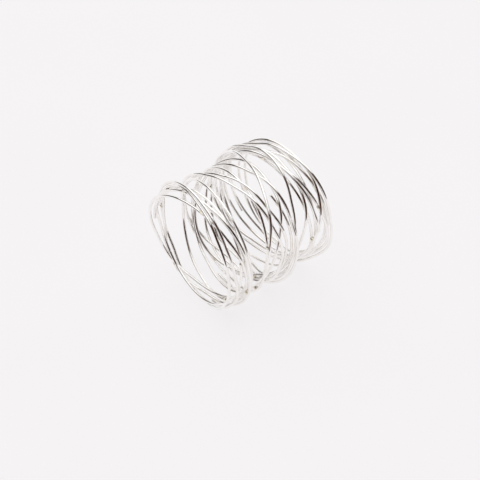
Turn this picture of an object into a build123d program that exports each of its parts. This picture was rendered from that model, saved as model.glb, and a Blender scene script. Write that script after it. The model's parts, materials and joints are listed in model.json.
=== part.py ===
from build123d import *
import itertools
import os
import numpy as np

os.makedirs("parts", exist_ok=True)

# A napkin ring wound by hand from silver-plated wire.  It lies on its side, so its axis runs
# along Y: the front end is at -Y, the table is Z = 0, and clock angles are seen from the front,
# 0 at the top and growing towards +X.  Every turn leans a different way and crosses the turns
# laid before it, so the wires are held by their own tension and by braze tacks at crossings.

# ---- driving dimensions, mm and degrees ------------------------------------------------------
WIRE = 1.0             # wire diameter
FORMER_RADIUS = 20.9   # centreline radius of a turn that lies straight on the winding former
LIFT = WIRE + 0.20     # centre distance where one wire rides over another
FALL = 10.0            # how fast a taut wire drops again past a crossing, mm per radian squared
EASE = 5.0             # stretch of wire that its own stiffness rounds off, degrees
STEP = 3               # spacing of the stations where the lay is worked out, degrees
JUST_CLEAR = 0.02      # a wire higher than this off the former counts as lifted
FRONT_RIM = -22.0      # the rims' places along the ring
REAR_RIM = 20.0
SQUASH = 1.5           # the rear rim is pressed in by this much on its right side, the front not
SQUASH_CLOCK = 105
BEND_STEP = 12         # the wire's path bends once every so many degrees
ARC_SHARE = 0.45       # how far along the shorter run beside it the arc at a bend reaches
TACK_RADIUS = 0.75     # a drop of braze at a crossing, and how deep it fills between the wires
TACK_DEPTH = 0.90
TACK_SPACING = 11.0    # no two tacks are nearer than this
TACK_REACH = 0.25      # the most spare height at a crossing that a tack still fills
TACK_CLEAR = 1.40      # a tack keeps this far from the centreline of any third wire
TACK_FROM_END = 2.5    # and from the snipped ends, which stick out past their tacks

# A turn keeps its own lean on the side from CROSS_OVER_END to CROSS_OVER_START and passes over
# to the next turn's lean on the rest.
CROSS_OVER_START = 130
CROSS_OVER_END = 290

# Each length of wire, in the order they are wound on: the clock angle of its first end, the
# clock angle of its last end, and its turns.  A turn is its place along the ring, how far it
# leans either way of that place, and the clock angle where it leans furthest to the rear.
WIRES = {
    "rear_rim_wire": (-150, 175, [
        (18.0, 2.4, 254), (18.9, 2.0, 130), (13.3, 2.6, 169), (15.4, 4.7, 91)]),
    "front_rim_wire": (-75, 190, [
        (-18.8, 1.9, 15), (-17.1, 2.5, 151), (-19.4, 4.4, 146), (-10.5, 4.2, 232)]),
    "middle_wire": (33, 200, [
        (0.8, 3.9, 95), (-1.9, 7.8, 354), (-4.7, 3.0, 318), (-2.4, 4.7, 117)]),
    "rear_crossing_wire": (-140, 84, [
        (7.4, 6.7, 13), (14.6, 5.9, 129), (13.1, 6.0, 17), (10.1, 4.6, 89)]),
    "front_crossing_wire": (-90, 170, [
        (-18.2, 2.6, 134), (-19.9, 3.9, 252), (-18.4, 3.4, 223)]),
    "outer_wire": (-130, 102, [
        (17.5, 3.1, 104), (6.9, 4.0, 340), (2.3, 2.9, 85), (-3.4, 4.4, 135), (-0.7, 8.3, 305)]),
}
MOST_TURNS = max(len(turns) for _, _, turns in WIRES.values()) + 1


# ---- how the wires lie -----------------------------------------------------------------------
def place_along_ring(turns, clock):
    """Where a wire is along the ring, at clock angles that keep growing from turn to turn."""
    place, lean, towards = np.array(turns, float).T
    to_top = lean * np.cos(np.radians(towards))
    to_side = lean * np.sin(np.radians(towards))
    turn = np.floor((clock - CROSS_OVER_END) / 360).astype(int) + 1
    past = clock - 360 * turn - CROSS_OVER_START
    share = np.clip(past / (CROSS_OVER_END - CROSS_OVER_START), 0, 1)
    share = share * share * (3 - 2 * share)
    now = np.clip(turn, 0, len(turns) - 1)
    after = np.clip(turn + 1, 0, len(turns) - 1)
    mix = [(1 - share) * v[now] + share * v[after] for v in (place, to_top, to_side)]
    return mix[0] + mix[1] * np.cos(np.radians(clock)) + mix[2] * np.sin(np.radians(clock))


def former_radius(clock, place):
    """The radius that the wires lie on, with the rear end's pressed-in side."""
    side = np.maximum(0, np.cos(np.radians(clock - SQUASH_CLOCK))) ** 2
    return FORMER_RADIUS - SQUASH * side * np.clip((place - FRONT_RIM) / (REAR_RIM - FRONT_RIM), 0, 1)


def ride_over(clock, place, laid):
    """The least radius at each station that clears the stretches of wire laid before."""
    need = former_radius(clock, place)
    for old_clock, old_place, old_radius in laid:
        slope = np.gradient(old_place) / (FORMER_RADIUS * np.radians(STEP))
        for whole_turns in range(-MOST_TURNS, MOST_TURNS + 1):
            at = (clock + 360 * whole_turns - old_clock[0]) / STEP
            here = (at >= 0) & (at <= len(old_clock) - 1)
            if not here.any():
                continue
            station = np.arange(len(old_clock))
            gap = place[here] - np.interp(at[here], station, old_place)
            gap = gap * np.cos(np.arctan(np.interp(at[here], station, slope)))
            rise = np.sqrt(np.maximum(0, LIFT ** 2 - gap ** 2))
            under = np.interp(at[here], station, old_radius)
            need[here] = np.maximum(need[here], np.where(rise > 0, under + rise, 0))
    return need


def pull_taut(clock, place, need):
    """The wire's radius: over every crossing, falling away on both sides, with its bends eased."""
    angle = np.radians(clock)
    radius = np.max(need - FALL * (angle[:, None] - angle) ** 2, axis=1)
    reach = int(3 * EASE / STEP)
    weight = np.exp(-0.5 * (np.arange(-reach, reach + 1) * STEP / EASE) ** 2)
    floor = former_radius(clock, place)
    lifted = radius > floor + JUST_CLEAR
    radius = np.convolve(np.pad(radius, reach, mode="edge"), weight / weight.sum(), "valid")
    return np.maximum(radius + lifted * FALL * np.radians(EASE) ** 2, floor)


def wind(wires):
    """Winds the wires one after another, a turn at a time, over everything that is there."""
    laid = {}
    for name, (first, last, turns) in wires.items():
        clock = np.arange(first, 360 * (len(turns) - 1) + last + STEP / 2, STEP)
        place = place_along_ring(turns, clock)
        need = former_radius(clock, place)
        for start in range(0, len(clock), 360 // STEP):
            now = slice(start, start + 360 // STEP)
            need[now] = ride_over(clock[now], place[now], laid.values())
            done = slice(0, start + 360 // STEP)
            radius = pull_taut(clock[done], place[done], need[done])
            laid[name] = (clock[done], place[done], radius)
    return laid


def in_space(clock, place, radius):
    """Points of the ring about its own axis."""
    angle = np.radians(clock)
    return np.stack([radius * np.sin(angle), place, radius * np.cos(angle)], axis=-1)


winding = wind(WIRES)
every_point = np.concatenate([in_space(*lay) for lay in winding.values()])
lowest, highest = every_point.min(axis=0), every_point.max(axis=0)
TO_ORIGIN = -(lowest + highest) / 2 * [1, 1, 0] - [0, 0, lowest[2] - WIRE / 2]
print(f"axis at {TO_ORIGIN[0]:.2f}, {TO_ORIGIN[2]:.2f}, places along it move by {TO_ORIGIN[1]:.2f}")


def corner_points(clock, place, radius):
    """Bends of the path, set out a little so that the arcs between them keep the radius."""
    bends = np.linspace(clock[0], clock[-1], round((clock[-1] - clock[0]) / BEND_STEP) + 1)
    out = 1 / np.cos(np.radians(BEND_STEP) / 2)
    place = np.interp(bends, clock, place)
    radius = np.interp(bends, clock, radius) * out
    return in_space(bends, place, radius) + TO_ORIGIN


def bend_radii(points):
    """The largest arc at each corner that its two runs leave room for."""
    runs = np.diff(points, axis=0)
    length = np.linalg.norm(runs, axis=1)
    turn = np.einsum("ij,ij->i", runs[:-1], runs[1:]) / (length[:-1] * length[1:])
    return ARC_SHARE * np.minimum(length[:-1], length[1:]) / np.tan(np.arccos(turn) / 2)


# ---- where the wires are tacked --------------------------------------------------------------
def passing(winding, clock):
    """Place and radius of each stretch of wire that passes a clock angle, by wire and turn."""
    spots = {}
    for name, lay in winding.items():
        for turn in range(-1, len(WIRES[name][2])):
            at = clock + 360 * turn
            if lay[0][0] <= at <= lay[0][-1]:
                spots[name, turn] = np.array([np.interp(at, lay[0], v) for v in lay[1:]])
    return spots


def crossings(winding):
    """Points where one wire rides close over another, away from any third."""
    found = []
    for clock in range(360):
        here, ahead = passing(winding, clock), passing(winding, clock + 1)
        for pair in itertools.combinations(set(here) & set(ahead), 2):
            now, then = here[pair[0]] - here[pair[1]], ahead[pair[0]] - ahead[pair[1]]
            middle = (here[pair[0]] + here[pair[1]]) / 2
            others = [v for key, v in here.items() if key not in pair]
            clear = min(np.linalg.norm(v - middle) for v in others) > TACK_CLEAR
            if clear and now[0] * then[0] <= 0 and abs(now[1]) < LIFT + TACK_REACH:
                found.append(in_space(clock, *middle))
    return found


def choose_tacks(winding):
    """A tack at each crossing near a wire's end first, then at others that are well apart."""
    ends = [in_space(*[v[i] for v in lay]) for lay in winding.values() for i in (0, -1)]
    tacks = [(min(np.linalg.norm(point - end) for end in ends), point)
             for point in crossings(winding)]
    kept = []
    for from_end, point in sorted(tacks, key=lambda tack: tack[0]):
        apart = all(np.linalg.norm(point - other) > TACK_SPACING for other in kept)
        if apart and from_end > TACK_FROM_END:
            kept.append(point)
    return [point + TO_ORIGIN for point in kept]


# ---- the lengths of wire ---------------------------------------------------------------------
wires = {}
for name, lay in winding.items():
    corners = corner_points(*lay)
    radii = bend_radii(corners)
    with BuildPart() as wire:
        with BuildLine() as path:
            FilletPolyline(*[tuple(p) for p in corners], radius=[float(r) for r in radii])
        with BuildSketch(Plane(origin=path.line @ 0, z_dir=path.line % 0)):
            Circle(WIRE / 2)
        sweep()
    wire.part.label = name
    wires[name] = wire.part
    export_step(wire.part, f"parts/{name}.step")
    length = path.wire().length
    share = wire.part.volume / (np.pi * WIRE ** 2 / 4 * length)
    print(f"{name}: {length:.0f} mm, bends {radii.min():.1f} to {radii.max():.1f} mm,"
          f" volume share {share:.4f}, valid {wire.part.is_valid}")

# ---- the braze tacks, in three groups along the ring -----------------------------------------
GROUPS = {"front_tacks": (-99, -9), "middle_tacks": (-9, 8), "rear_tacks": (8, 99)}
chosen = choose_tacks(winding)
for name, (low, high) in GROUPS.items():
    group = [tuple(point) for point in chosen if low <= point[1] - TO_ORIGIN[1] < high]
    with BuildPart() as tacks:
        for point in group:
            outward = (point[0] - TO_ORIGIN[0], 0, point[2] - TO_ORIGIN[2])
            with Locations(Plane(origin=point, z_dir=outward)):
                Cylinder(TACK_RADIUS, TACK_DEPTH)
        add(wires.values(), mode=Mode.SUBTRACT)
    tacks.part.label = name
    export_step(tacks.part, f"parts/{name}.step")
    print(f"{name}: {len(group)} tacks, {len(tacks.part.solids())} solids,"
          f" valid {tacks.part.is_valid}")
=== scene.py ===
import json
import math

import bpy
import numpy as np
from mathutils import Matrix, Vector


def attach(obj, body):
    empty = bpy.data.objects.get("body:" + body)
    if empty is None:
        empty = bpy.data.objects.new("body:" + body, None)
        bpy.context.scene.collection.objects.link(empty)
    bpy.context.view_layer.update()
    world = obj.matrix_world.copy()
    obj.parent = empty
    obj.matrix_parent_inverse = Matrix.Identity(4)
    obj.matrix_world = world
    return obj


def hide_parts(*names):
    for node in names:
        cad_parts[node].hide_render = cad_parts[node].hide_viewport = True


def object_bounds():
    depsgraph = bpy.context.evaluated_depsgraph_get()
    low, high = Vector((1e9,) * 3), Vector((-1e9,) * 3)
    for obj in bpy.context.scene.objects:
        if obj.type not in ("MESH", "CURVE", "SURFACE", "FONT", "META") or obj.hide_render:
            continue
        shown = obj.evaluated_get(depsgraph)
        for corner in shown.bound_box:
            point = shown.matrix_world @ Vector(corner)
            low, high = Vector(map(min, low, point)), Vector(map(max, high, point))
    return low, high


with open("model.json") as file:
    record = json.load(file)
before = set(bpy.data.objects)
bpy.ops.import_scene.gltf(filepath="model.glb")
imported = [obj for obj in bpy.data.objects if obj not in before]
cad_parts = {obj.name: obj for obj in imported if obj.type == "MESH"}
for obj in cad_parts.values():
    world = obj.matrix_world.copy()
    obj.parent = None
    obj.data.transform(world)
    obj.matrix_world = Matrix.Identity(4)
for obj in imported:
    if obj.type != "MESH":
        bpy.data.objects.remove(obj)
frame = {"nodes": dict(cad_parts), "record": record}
cad_low, cad_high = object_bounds()

# ---- Camera ------------------------------------------------------------------------------------
# A long lens looks down at the ring from its front right, far enough away that the front and
# rear rims look almost the same size.
AXIS = next(mount for mount in frame["record"]["mounts"] if mount["name"] == "napkin_passage")
ALONG_RING = 0.00145                   # the middle of the view lies this far behind the ring's
LOOK_AT = Vector(AXIS["pos_m"]) + Vector((0, ALONG_RING, 0))
LOOK_DOWN = math.radians(40)
LOOK_ALONG = math.radians(138.5)       # heading, counted from +X towards +Y
DISTANCE = 0.65

toward = Vector((math.cos(LOOK_DOWN) * math.cos(LOOK_ALONG),
                 math.cos(LOOK_DOWN) * math.sin(LOOK_ALONG),
                 -math.sin(LOOK_DOWN)))
lens = bpy.data.cameras.new("long_lens")
lens.sensor_width = 36
lens.lens = 145.3
lens.shift_x = -0.002
lens.shift_y = -0.0365
lens.clip_start = 0.05
camera = bpy.data.objects.new("camera", lens)
camera.location = LOOK_AT - toward * DISTANCE
camera.rotation_mode = "QUATERNION"
camera.rotation_quaternion = toward.to_track_quat("-Z", "Y")
bpy.context.scene.collection.objects.link(camera)
bpy.context.scene.camera = camera
bpy.context.scene.view_settings.view_transform = "Standard"


# ---- Table -------------------------------------------------------------------------------------
# A sheet of opal acrylic on a table top, lit from below as well as above, so that shadows on it
# stay very pale.  The wires show it as white, and the dark room past its edge just above that.
def linear(hex_colour):
    """sRGB hex to the linear colour that shaders take."""
    parts = [int(hex_colour[i:i + 2], 16) / 255 for i in (1, 3, 5)]
    return [c / 12.92 if c <= 0.04045 else ((c + 0.055) / 1.055) ** 2.4 for c in parts] + [1]


def add_node(tree, kind, settings=(), **inputs):
    """Adds a node; an input is a value or another node's output, and _ stands for a space."""
    node = tree.nodes.new(kind)
    for key, value in dict(settings).items():
        setattr(node, key, value)
    for key, value in inputs.items():
        name = key.replace("_", " ")
        socket = node.inputs[int(name[2:])] if name.startswith("n ") else node.inputs[name]
        if isinstance(value, bpy.types.NodeSocket):
            tree.links.new(value, socket)
        else:
            socket.default_value = value
    return node


def new_material(name):
    """An empty node material with its output."""
    material = bpy.data.materials.new(name)
    material.use_nodes = True
    material.node_tree.nodes.clear()
    return material, material.node_tree, add_node(material.node_tree, "ShaderNodeOutputMaterial")


opal, tree, out = new_material("opal acrylic")
place = add_node(tree, "ShaderNodeTexCoord")
cloud = add_node(tree, "ShaderNodeTexNoise", Vector=place.outputs["Object"], Scale=9.0, Detail=3.0)
glow = add_node(tree, "ShaderNodeValToRGB", Fac=cloud.outputs["Fac"])
glow.color_ramp.elements[0].color = linear("#e3e1e2")
glow.color_ramp.elements[1].color = linear("#e7e5e6")
sheet_shader = add_node(tree, "ShaderNodeBsdfPrincipled", Base_Color=linear("#6f6e6f"),
                        Roughness=0.8, Specular_IOR_Level=0.2,
                        Emission_Color=glow.outputs["Color"], Emission_Strength=1.0)
tree.links.new(sheet_shader.outputs["BSDF"], out.inputs["Surface"])

SHEET = 0.7                            # side of the square, metres
sheet_mesh = bpy.data.meshes.new("sheet")
corners = [(x * SHEET / 2, y * SHEET / 2, cad_low.z)
           for x, y in ((-1, -1), (1, -1), (1, 1), (-1, 1))]
sheet_mesh.from_pydata(corners, [], [(0, 1, 2, 3)])
sheet_mesh.materials.append(opal)
sheet = bpy.data.objects.new("sheet", sheet_mesh)
bpy.context.scene.collection.objects.link(sheet)

# ---- Light -------------------------------------------------------------------------------------
# A wide ceiling panel and white screens behind the ring light it.  On the camera's side, between
# the panel and the table, lies an unlit brown room, which the polished wires show as dark lines.
PANEL_LEAN = 0.20                      # how far the panel hangs off to one side, as a slope
PANEL_HEADING = math.radians(200)      # that side, counted from +X towards +Y
PANEL_EDGE = (0.70, 0.75)              # where it begins and is full, as the cosine from its middle
PANEL_LIGHT = 1.25
SCREEN_LIGHT = 0.95
ROOM_HEADING = math.radians(-60)       # the middle of the dark room
ROOM_EDGE = (-0.44, -0.32)             # where the screens end and the room is full, as its cosine

world = bpy.data.worlds.new("studio")
world.use_nodes = True
bpy.context.scene.world = world
tree = world.node_tree
tree.nodes.clear()
out = add_node(tree, "ShaderNodeOutputWorld")
place = add_node(tree, "ShaderNodeTexCoord")
clutter = add_node(tree, "ShaderNodeTexNoise", Vector=place.outputs["Generated"], Scale=3.0,
                   Detail=1.0)
room = add_node(tree, "ShaderNodeValToRGB", Fac=clutter.outputs["Fac"])
room.color_ramp.elements[0].position = 0.42
room.color_ramp.elements[0].color = linear("#100b0a")
room.color_ramp.elements[1].position = 0.66
room.color_ramp.elements[1].color = linear("#5f4033")
room_middle = Vector((math.cos(ROOM_HEADING), math.sin(ROOM_HEADING), 0))
aside = add_node(tree, "ShaderNodeVectorMath", {"operation": "DOT_PRODUCT"},
                 n_0=place.outputs["Generated"], n_1=room_middle)
screened = add_node(tree, "ShaderNodeMapRange", {"interpolation_type": "SMOOTHSTEP"},
                    Value=aside.outputs["Value"], From_Min=ROOM_EDGE[0], From_Max=ROOM_EDGE[1])
around = add_node(tree, "ShaderNodeMix", {"data_type": "RGBA"}, Factor=screened.outputs["Result"],
                  n_6=[SCREEN_LIGHT] * 3 + [1], n_7=room.outputs["Color"])
panel_middle = Vector((PANEL_LEAN * math.cos(PANEL_HEADING),
                       PANEL_LEAN * math.sin(PANEL_HEADING), 1))
up = add_node(tree, "ShaderNodeVectorMath", {"operation": "DOT_PRODUCT"},
              n_0=place.outputs["Generated"], n_1=panel_middle.normalized())
above = add_node(tree, "ShaderNodeMapRange", {"interpolation_type": "SMOOTHSTEP"},
                 Value=up.outputs["Value"], From_Min=PANEL_EDGE[0], From_Max=PANEL_EDGE[1])
seen = add_node(tree, "ShaderNodeMix", {"data_type": "RGBA"}, Factor=above.outputs["Result"],
                n_6=around.outputs[2], n_7=[PANEL_LIGHT] * 3 + [1])
studio = add_node(tree, "ShaderNodeBackground", Color=seen.outputs[2], Strength=1.0)
backdrop = add_node(tree, "ShaderNodeBackground", Color=linear("#f3f1f2"), Strength=1.0)
ray = add_node(tree, "ShaderNodeLightPath")
either = add_node(tree, "ShaderNodeMixShader", n_0=ray.outputs["Is Camera Ray"],
                  n_1=studio.outputs["Background"], n_2=backdrop.outputs["Background"])
tree.links.new(either.outputs["Shader"], out.inputs["Surface"])

# ---- How the wires are wound -------------------------------------------------------------------
# Six lengths of 1 mm wire are wound by hand on a round former, one after another.  Every turn
# leans its own way and rides over the turns laid before it, and a taut wire drops back to the
# former between crossings.  All of it is worked out in millimetres and degrees.
WIRE = 1.0
FORMER_RADIUS = 20.9   # centreline radius of a turn that lies straight on the former
LIFT = WIRE + 0.20     # centre distance where one wire rides over another
FALL = 10.0            # how fast a taut wire drops again past a crossing, per radian squared
EASE = 5.0             # stretch of wire that its own stiffness rounds off
STEP = 3               # spacing of the stations where the lay is worked out
JUST_CLEAR = 0.02      # a wire higher than this off the former counts as lifted
FRONT_RIM = -22.0      # the rims' places along the ring
REAR_RIM = 20.0
SQUASH = 1.5           # the rear rim is pressed in by this much on its right side
SQUASH_CLOCK = 105

# A turn keeps its own lean on the side from CROSS_OVER_END to CROSS_OVER_START and passes over
# to the next turn's lean on the rest.
CROSS_OVER_START = 130
CROSS_OVER_END = 290

# Each length of wire: the clock angles of its first and last ends, and its turns.  A turn is its
# place along the ring, how far it leans either way, and the clock angle of its rearmost point.
WIRES = {
    "rear_rim_wire": (-150, 175, [
        (18.0, 2.4, 254), (18.9, 2.0, 130), (13.3, 2.6, 169), (15.4, 4.7, 91)]),
    "front_rim_wire": (-75, 190, [
        (-18.8, 1.9, 15), (-17.1, 2.5, 151), (-19.4, 4.4, 146), (-10.5, 4.2, 232)]),
    "middle_wire": (33, 200, [
        (0.8, 3.9, 95), (-1.9, 7.8, 354), (-4.7, 3.0, 318), (-2.4, 4.7, 117)]),
    "rear_crossing_wire": (-140, 84, [
        (7.4, 6.7, 13), (14.6, 5.9, 129), (13.1, 6.0, 17), (10.1, 4.6, 89)]),
    "front_crossing_wire": (-90, 170, [
        (-18.2, 2.6, 134), (-19.9, 3.9, 252), (-18.4, 3.4, 223)]),
    "outer_wire": (-130, 102, [
        (17.5, 3.1, 104), (6.9, 4.0, 340), (2.3, 2.9, 85), (-3.4, 4.4, 135), (-0.7, 8.3, 305)]),
}
MOST_TURNS = max(len(turns) for _, _, turns in WIRES.values()) + 1


def place_along_ring(turns, clock):
    """Where a wire is along the ring, at clock angles that keep growing from turn to turn."""
    place, lean, towards = np.array(turns, float).T
    to_top = lean * np.cos(np.radians(towards))
    to_side = lean * np.sin(np.radians(towards))
    turn = np.floor((clock - CROSS_OVER_END) / 360).astype(int) + 1
    past = clock - 360 * turn - CROSS_OVER_START
    share = np.clip(past / (CROSS_OVER_END - CROSS_OVER_START), 0, 1)
    share = share * share * (3 - 2 * share)
    now = np.clip(turn, 0, len(turns) - 1)
    after = np.clip(turn + 1, 0, len(turns) - 1)
    mix = [(1 - share) * v[now] + share * v[after] for v in (place, to_top, to_side)]
    return mix[0] + mix[1] * np.cos(np.radians(clock)) + mix[2] * np.sin(np.radians(clock))


def former_radius(clock, place):
    """The radius that the wires lie on, with the rear end's pressed-in side."""
    side = np.maximum(0, np.cos(np.radians(clock - SQUASH_CLOCK))) ** 2
    return FORMER_RADIUS - SQUASH * side * np.clip((place - FRONT_RIM) / (REAR_RIM - FRONT_RIM), 0, 1)


def ride_over(clock, place, laid):
    """The least radius at each station that clears the stretches of wire laid before."""
    need = former_radius(clock, place)
    for old_clock, old_place, old_radius in laid:
        slope = np.gradient(old_place) / (FORMER_RADIUS * np.radians(STEP))
        for whole_turns in range(-MOST_TURNS, MOST_TURNS + 1):
            at = (clock + 360 * whole_turns - old_clock[0]) / STEP
            here = (at >= 0) & (at <= len(old_clock) - 1)
            if not here.any():
                continue
            station = np.arange(len(old_clock))
            gap = place[here] - np.interp(at[here], station, old_place)
            gap = gap * np.cos(np.arctan(np.interp(at[here], station, slope)))
            rise = np.sqrt(np.maximum(0, LIFT ** 2 - gap ** 2))
            under = np.interp(at[here], station, old_radius)
            need[here] = np.maximum(need[here], np.where(rise > 0, under + rise, 0))
    return need


def pull_taut(clock, place, need):
    """The wire's radius: over every crossing, falling away on both sides, with its bends eased."""
    angle = np.radians(clock)
    radius = np.max(need - FALL * (angle[:, None] - angle) ** 2, axis=1)
    reach = int(3 * EASE / STEP)
    weight = np.exp(-0.5 * (np.arange(-reach, reach + 1) * STEP / EASE) ** 2)
    floor = former_radius(clock, place)
    lifted = radius > floor + JUST_CLEAR
    radius = np.convolve(np.pad(radius, reach, mode="edge"), weight / weight.sum(), "valid")
    return np.maximum(radius + lifted * FALL * np.radians(EASE) ** 2, floor)


def wind(wires):
    """Winds the wires one after another, a turn at a time, over everything that is there."""
    laid = {}
    for name, (first, last, turns) in wires.items():
        clock = np.arange(first, 360 * (len(turns) - 1) + last + STEP / 2, STEP)
        place = place_along_ring(turns, clock)
        need = former_radius(clock, place)
        for start in range(0, len(clock), 360 // STEP):
            now = slice(start, start + 360 // STEP)
            need[now] = ride_over(clock[now], place[now], laid.values())
            done = slice(0, start + 360 // STEP)
            radius = pull_taut(clock[done], place[done], need[done])
            laid[name] = (clock[done], place[done], radius)
    return laid


def in_space(clock, place, radius):
    """Points of the ring about its own axis, in metres."""
    angle = np.radians(clock)
    ring = np.stack([radius * np.sin(angle), place, radius * np.cos(angle)], axis=-1)
    return ring / 1000


winding = wind(WIRES)

# ---- Wires -------------------------------------------------------------------------------------
# Brass wire drawn to 1 mm, silver plated after it is wound and tacked.  Each length is one smooth
# tube along its own path, with the ends snipped and tumbled round.
SIDES = 16
HALF = WIRE / 2 / 1000                 # metres
END_ROUNDING = ((0.0, 0.45), (0.06, 0.72), (0.16, 0.90), (0.30, 0.985))   # mm from the end, share


def silver_plate():
    """Silver plate on drawn wire: a bright, slightly warm mirror with the die's faint lines along
    it and a breath of tarnish, so the dark room shows in it as crisp brown-black streaks."""
    material, tree, out = new_material("polished silver plate")
    place = add_node(tree, "ShaderNodeTexCoord")
    tarnish = add_node(tree, "ShaderNodeTexNoise", Vector=place.outputs["Object"],
                       Scale=1000 / 6, Detail=3.0)
    tint = add_node(tree, "ShaderNodeValToRGB", Fac=tarnish.outputs["Fac"])
    tint.color_ramp.elements[0].position = 0.35
    tint.color_ramp.elements[0].color = linear("#fcfbfa")
    tint.color_ramp.elements[1].position = 0.75
    tint.color_ramp.elements[1].color = linear("#f4f1ec")
    handling = add_node(tree, "ShaderNodeTexNoise", Vector=place.outputs["Object"],
                        Scale=1000 / 1.5, Detail=2.0)
    polish = add_node(tree, "ShaderNodeMapRange", Value=handling.outputs["Fac"],
                      To_Min=0.05, To_Max=0.13)
    along = add_node(tree, "ShaderNodeAttribute", {"attribute_name": "draw"})
    stretch = add_node(tree, "ShaderNodeMapping", Vector=along.outputs["Vector"],
                       Scale=(6.0, 1000 / 4, 1.0))
    lines = add_node(tree, "ShaderNodeTexNoise", Vector=stretch.outputs["Vector"],
                     Scale=1.0, Detail=2.0)
    dents = add_node(tree, "ShaderNodeBump", Height=lines.outputs["Fac"], Strength=0.25,
                     Distance=0.00002)
    shader = add_node(tree, "ShaderNodeBsdfPrincipled", Base_Color=tint.outputs["Color"],
                      Metallic=1.0, Roughness=polish.outputs["Result"],
                      Normal=dents.outputs["Normal"])
    tree.links.new(shader.outputs["BSDF"], out.inputs["Surface"])
    return material


def wire_tree():
    """Geometry nodes that draw a wire along a path: a round section of a named diameter, closed
    at both ends, with a draw attribute that holds the place round the section and along it."""
    tree = bpy.data.node_groups.new("drawn wire", "GeometryNodeTree")
    interface = tree.interface
    interface.new_socket("Geometry", in_out="INPUT", socket_type="NodeSocketGeometry")
    interface.new_socket("Wire Diameter", in_out="INPUT", socket_type="NodeSocketFloat")
    interface.new_socket("Sides", in_out="INPUT", socket_type="NodeSocketInt")
    interface.new_socket("Plate", in_out="INPUT", socket_type="NodeSocketMaterial")
    interface.new_socket("Geometry", in_out="OUTPUT", socket_type="NodeSocketGeometry")
    given = add_node(tree, "NodeGroupInput")
    done = add_node(tree, "NodeGroupOutput")
    half = add_node(tree, "ShaderNodeMath", {"operation": "MULTIPLY"},
                    n_0=given.outputs["Wire Diameter"], n_1=0.5)
    section = add_node(tree, "GeometryNodeCurvePrimitiveCircle", {"mode": "RADIUS"},
                       Resolution=given.outputs["Sides"], Radius=half.outputs["Value"])
    down_path = add_node(tree, "GeometryNodeSplineParameter")
    path = add_node(tree, "GeometryNodeStoreNamedAttribute",
                    {"data_type": "FLOAT", "domain": "POINT"}, Name="draw_along",
                    Geometry=given.outputs["Geometry"], Value=down_path.outputs["Length"])
    round_section = add_node(tree, "GeometryNodeSplineParameter")
    ring = add_node(tree, "GeometryNodeStoreNamedAttribute",
                    {"data_type": "FLOAT", "domain": "POINT"}, Name="draw_round",
                    Geometry=section.outputs["Curve"], Value=round_section.outputs["Factor"])
    tube = add_node(tree, "GeometryNodeCurveToMesh", Curve=path.outputs["Geometry"],
                    Profile_Curve=ring.outputs["Geometry"], Fill_Caps=True)
    if "Scale" in tube.inputs:
        width = add_node(tree, "GeometryNodeInputRadius")
        tree.links.new(width.outputs["Radius"], tube.inputs["Scale"])
    down = add_node(tree, "GeometryNodeInputNamedAttribute", {"data_type": "FLOAT"},
                    Name="draw_along")
    across = add_node(tree, "GeometryNodeInputNamedAttribute", {"data_type": "FLOAT"},
                      Name="draw_round")
    both = add_node(tree, "ShaderNodeCombineXYZ", X=across.outputs["Attribute"],
                    Y=down.outputs["Attribute"])
    marked = add_node(tree, "GeometryNodeStoreNamedAttribute",
                      {"data_type": "FLOAT_VECTOR", "domain": "POINT"}, Name="draw",
                      Geometry=tube.outputs["Mesh"], Value=both.outputs["Vector"])
    smooth = add_node(tree, "GeometryNodeSetShadeSmooth", Geometry=marked.outputs["Geometry"])
    real = add_node(tree, "GeometryNodeRealizeInstances", Geometry=smooth.outputs["Geometry"])
    plated = add_node(tree, "GeometryNodeSetMaterial", Geometry=real.outputs["Geometry"],
                      Material=given.outputs["Plate"])
    tree.links.new(plated.outputs["Geometry"], done.inputs["Geometry"])
    return tree


def plain_mesh(piece, name):
    """The evaluated shape as a mesh of its own, with every modifier's work in it."""
    graph = bpy.context.evaluated_depsgraph_get()
    mesh = bpy.data.meshes.new_from_object(piece.evaluated_get(graph))
    mesh.name = name
    bpy.data.objects.remove(piece)
    made = bpy.data.objects.new(name, mesh)
    bpy.context.scene.collection.objects.link(made)
    return made


def set_input(modifier, name, value):
    """Sets a geometry nodes modifier's input by its socket's identifier."""
    socket = next(s for s in modifier.node_group.interface.items_tree
                  if s.name == name and s.in_out == "INPUT")
    modifier[socket.identifier] = value


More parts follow.
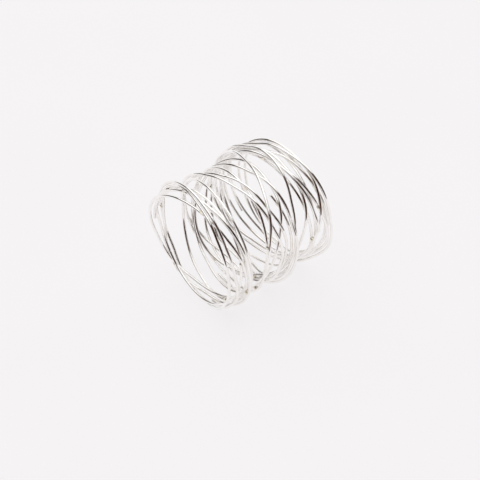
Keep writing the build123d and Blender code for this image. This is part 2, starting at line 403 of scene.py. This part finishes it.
def draw_wire(name, points, plate, tree):
    """One length of wire along its path, as a closed tube with rounded ends."""
    curve = bpy.data.curves.new(name, "CURVE")
    curve.dimensions = "3D"
    spline = curve.splines.new("POLY")
    first, last = points[0] - points[1], points[-1] - points[-2]
    first, last = first / np.linalg.norm(first), last / np.linalg.norm(last)
    lead = [(points[0] - first * back / 1000, share) for back, share in END_ROUNDING]
    tail = [(points[-1] - last * back / 1000, share) for back, share in reversed(END_ROUNDING)]
    stations = lead + [(p, 1.0) for p in points[1:-1]] + tail
    spline.points.add(len(stations) - 1)
    for point, (place, share) in zip(spline.points, stations):
        point.co = (*place, 1)
        point.radius = share
    piece = bpy.data.objects.new(name, curve)
    bpy.context.scene.collection.objects.link(piece)
    modifier = piece.modifiers.new("drawn wire", "NODES")
    modifier.node_group = tree
    set_input(modifier, "Wire Diameter", 2 * HALF)
    set_input(modifier, "Sides", SIDES)
    set_input(modifier, "Plate", plate)
    return plain_mesh(piece, name)


plate = silver_plate()
drawn = wire_tree()
paths = {name: in_space(*lay) for name, lay in winding.items()}
every_point = np.concatenate(list(paths.values()))
lowest, highest = every_point.min(axis=0), every_point.max(axis=0)
to_origin = -(lowest + highest) / 2 * [1, 1, 0] - [0, 0, lowest[2] - HALF]

for node, (clock, place, radius) in winding.items():
    fine = np.arange(clock[0], clock[-1] + 0.1, STEP / 2)
    path = in_space(fine, np.interp(fine, clock, place), np.interp(fine, clock, radius))
    wire = draw_wire("plated_" + node, path + to_origin, plate, drawn)
    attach(wire, "root")
    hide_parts(node)

# ---- Braze tacks -------------------------------------------------------------------------------
# Drops of brass braze that a torch leaves where two wires cross.  They are plated along with the
# wires, but more thinly, so a little of their yellow shows.
def plated_braze():
    """Braze under thin plate: paler than brass, duller than the wire, with a pitted cast skin."""
    material, tree, out = new_material("plated brass braze")
    place = add_node(tree, "ShaderNodeTexCoord")
    thin = add_node(tree, "ShaderNodeTexNoise", Vector=place.outputs["Object"],
                    Scale=1000 / 0.8, Detail=2.0)
    tint = add_node(tree, "ShaderNodeValToRGB", Fac=thin.outputs["Fac"])
    tint.color_ramp.elements[0].position = 0.4
    tint.color_ramp.elements[0].color = linear("#f6f3ec")
    tint.color_ramp.elements[1].position = 0.7
    tint.color_ramp.elements[1].color = linear("#e9dfc6")
    pits = add_node(tree, "ShaderNodeTexNoise", Vector=place.outputs["Object"],
                    Scale=1000 / 0.25, Detail=3.0)
    skin = add_node(tree, "ShaderNodeBump", Height=pits.outputs["Fac"], Strength=0.4,
                    Distance=0.00004)
    shader = add_node(tree, "ShaderNodeBsdfPrincipled", Base_Color=tint.outputs["Color"],
                      Metallic=1.0, Roughness=0.24, Normal=skin.outputs["Normal"])
    tree.links.new(shader.outputs["BSDF"], out.inputs["Surface"])
    return material


braze = plated_braze()
for node in ("front_tacks", "middle_tacks", "rear_tacks"):
    mesh = frame["nodes"][node].data
    mesh.materials.clear()
    mesh.materials.append(braze)
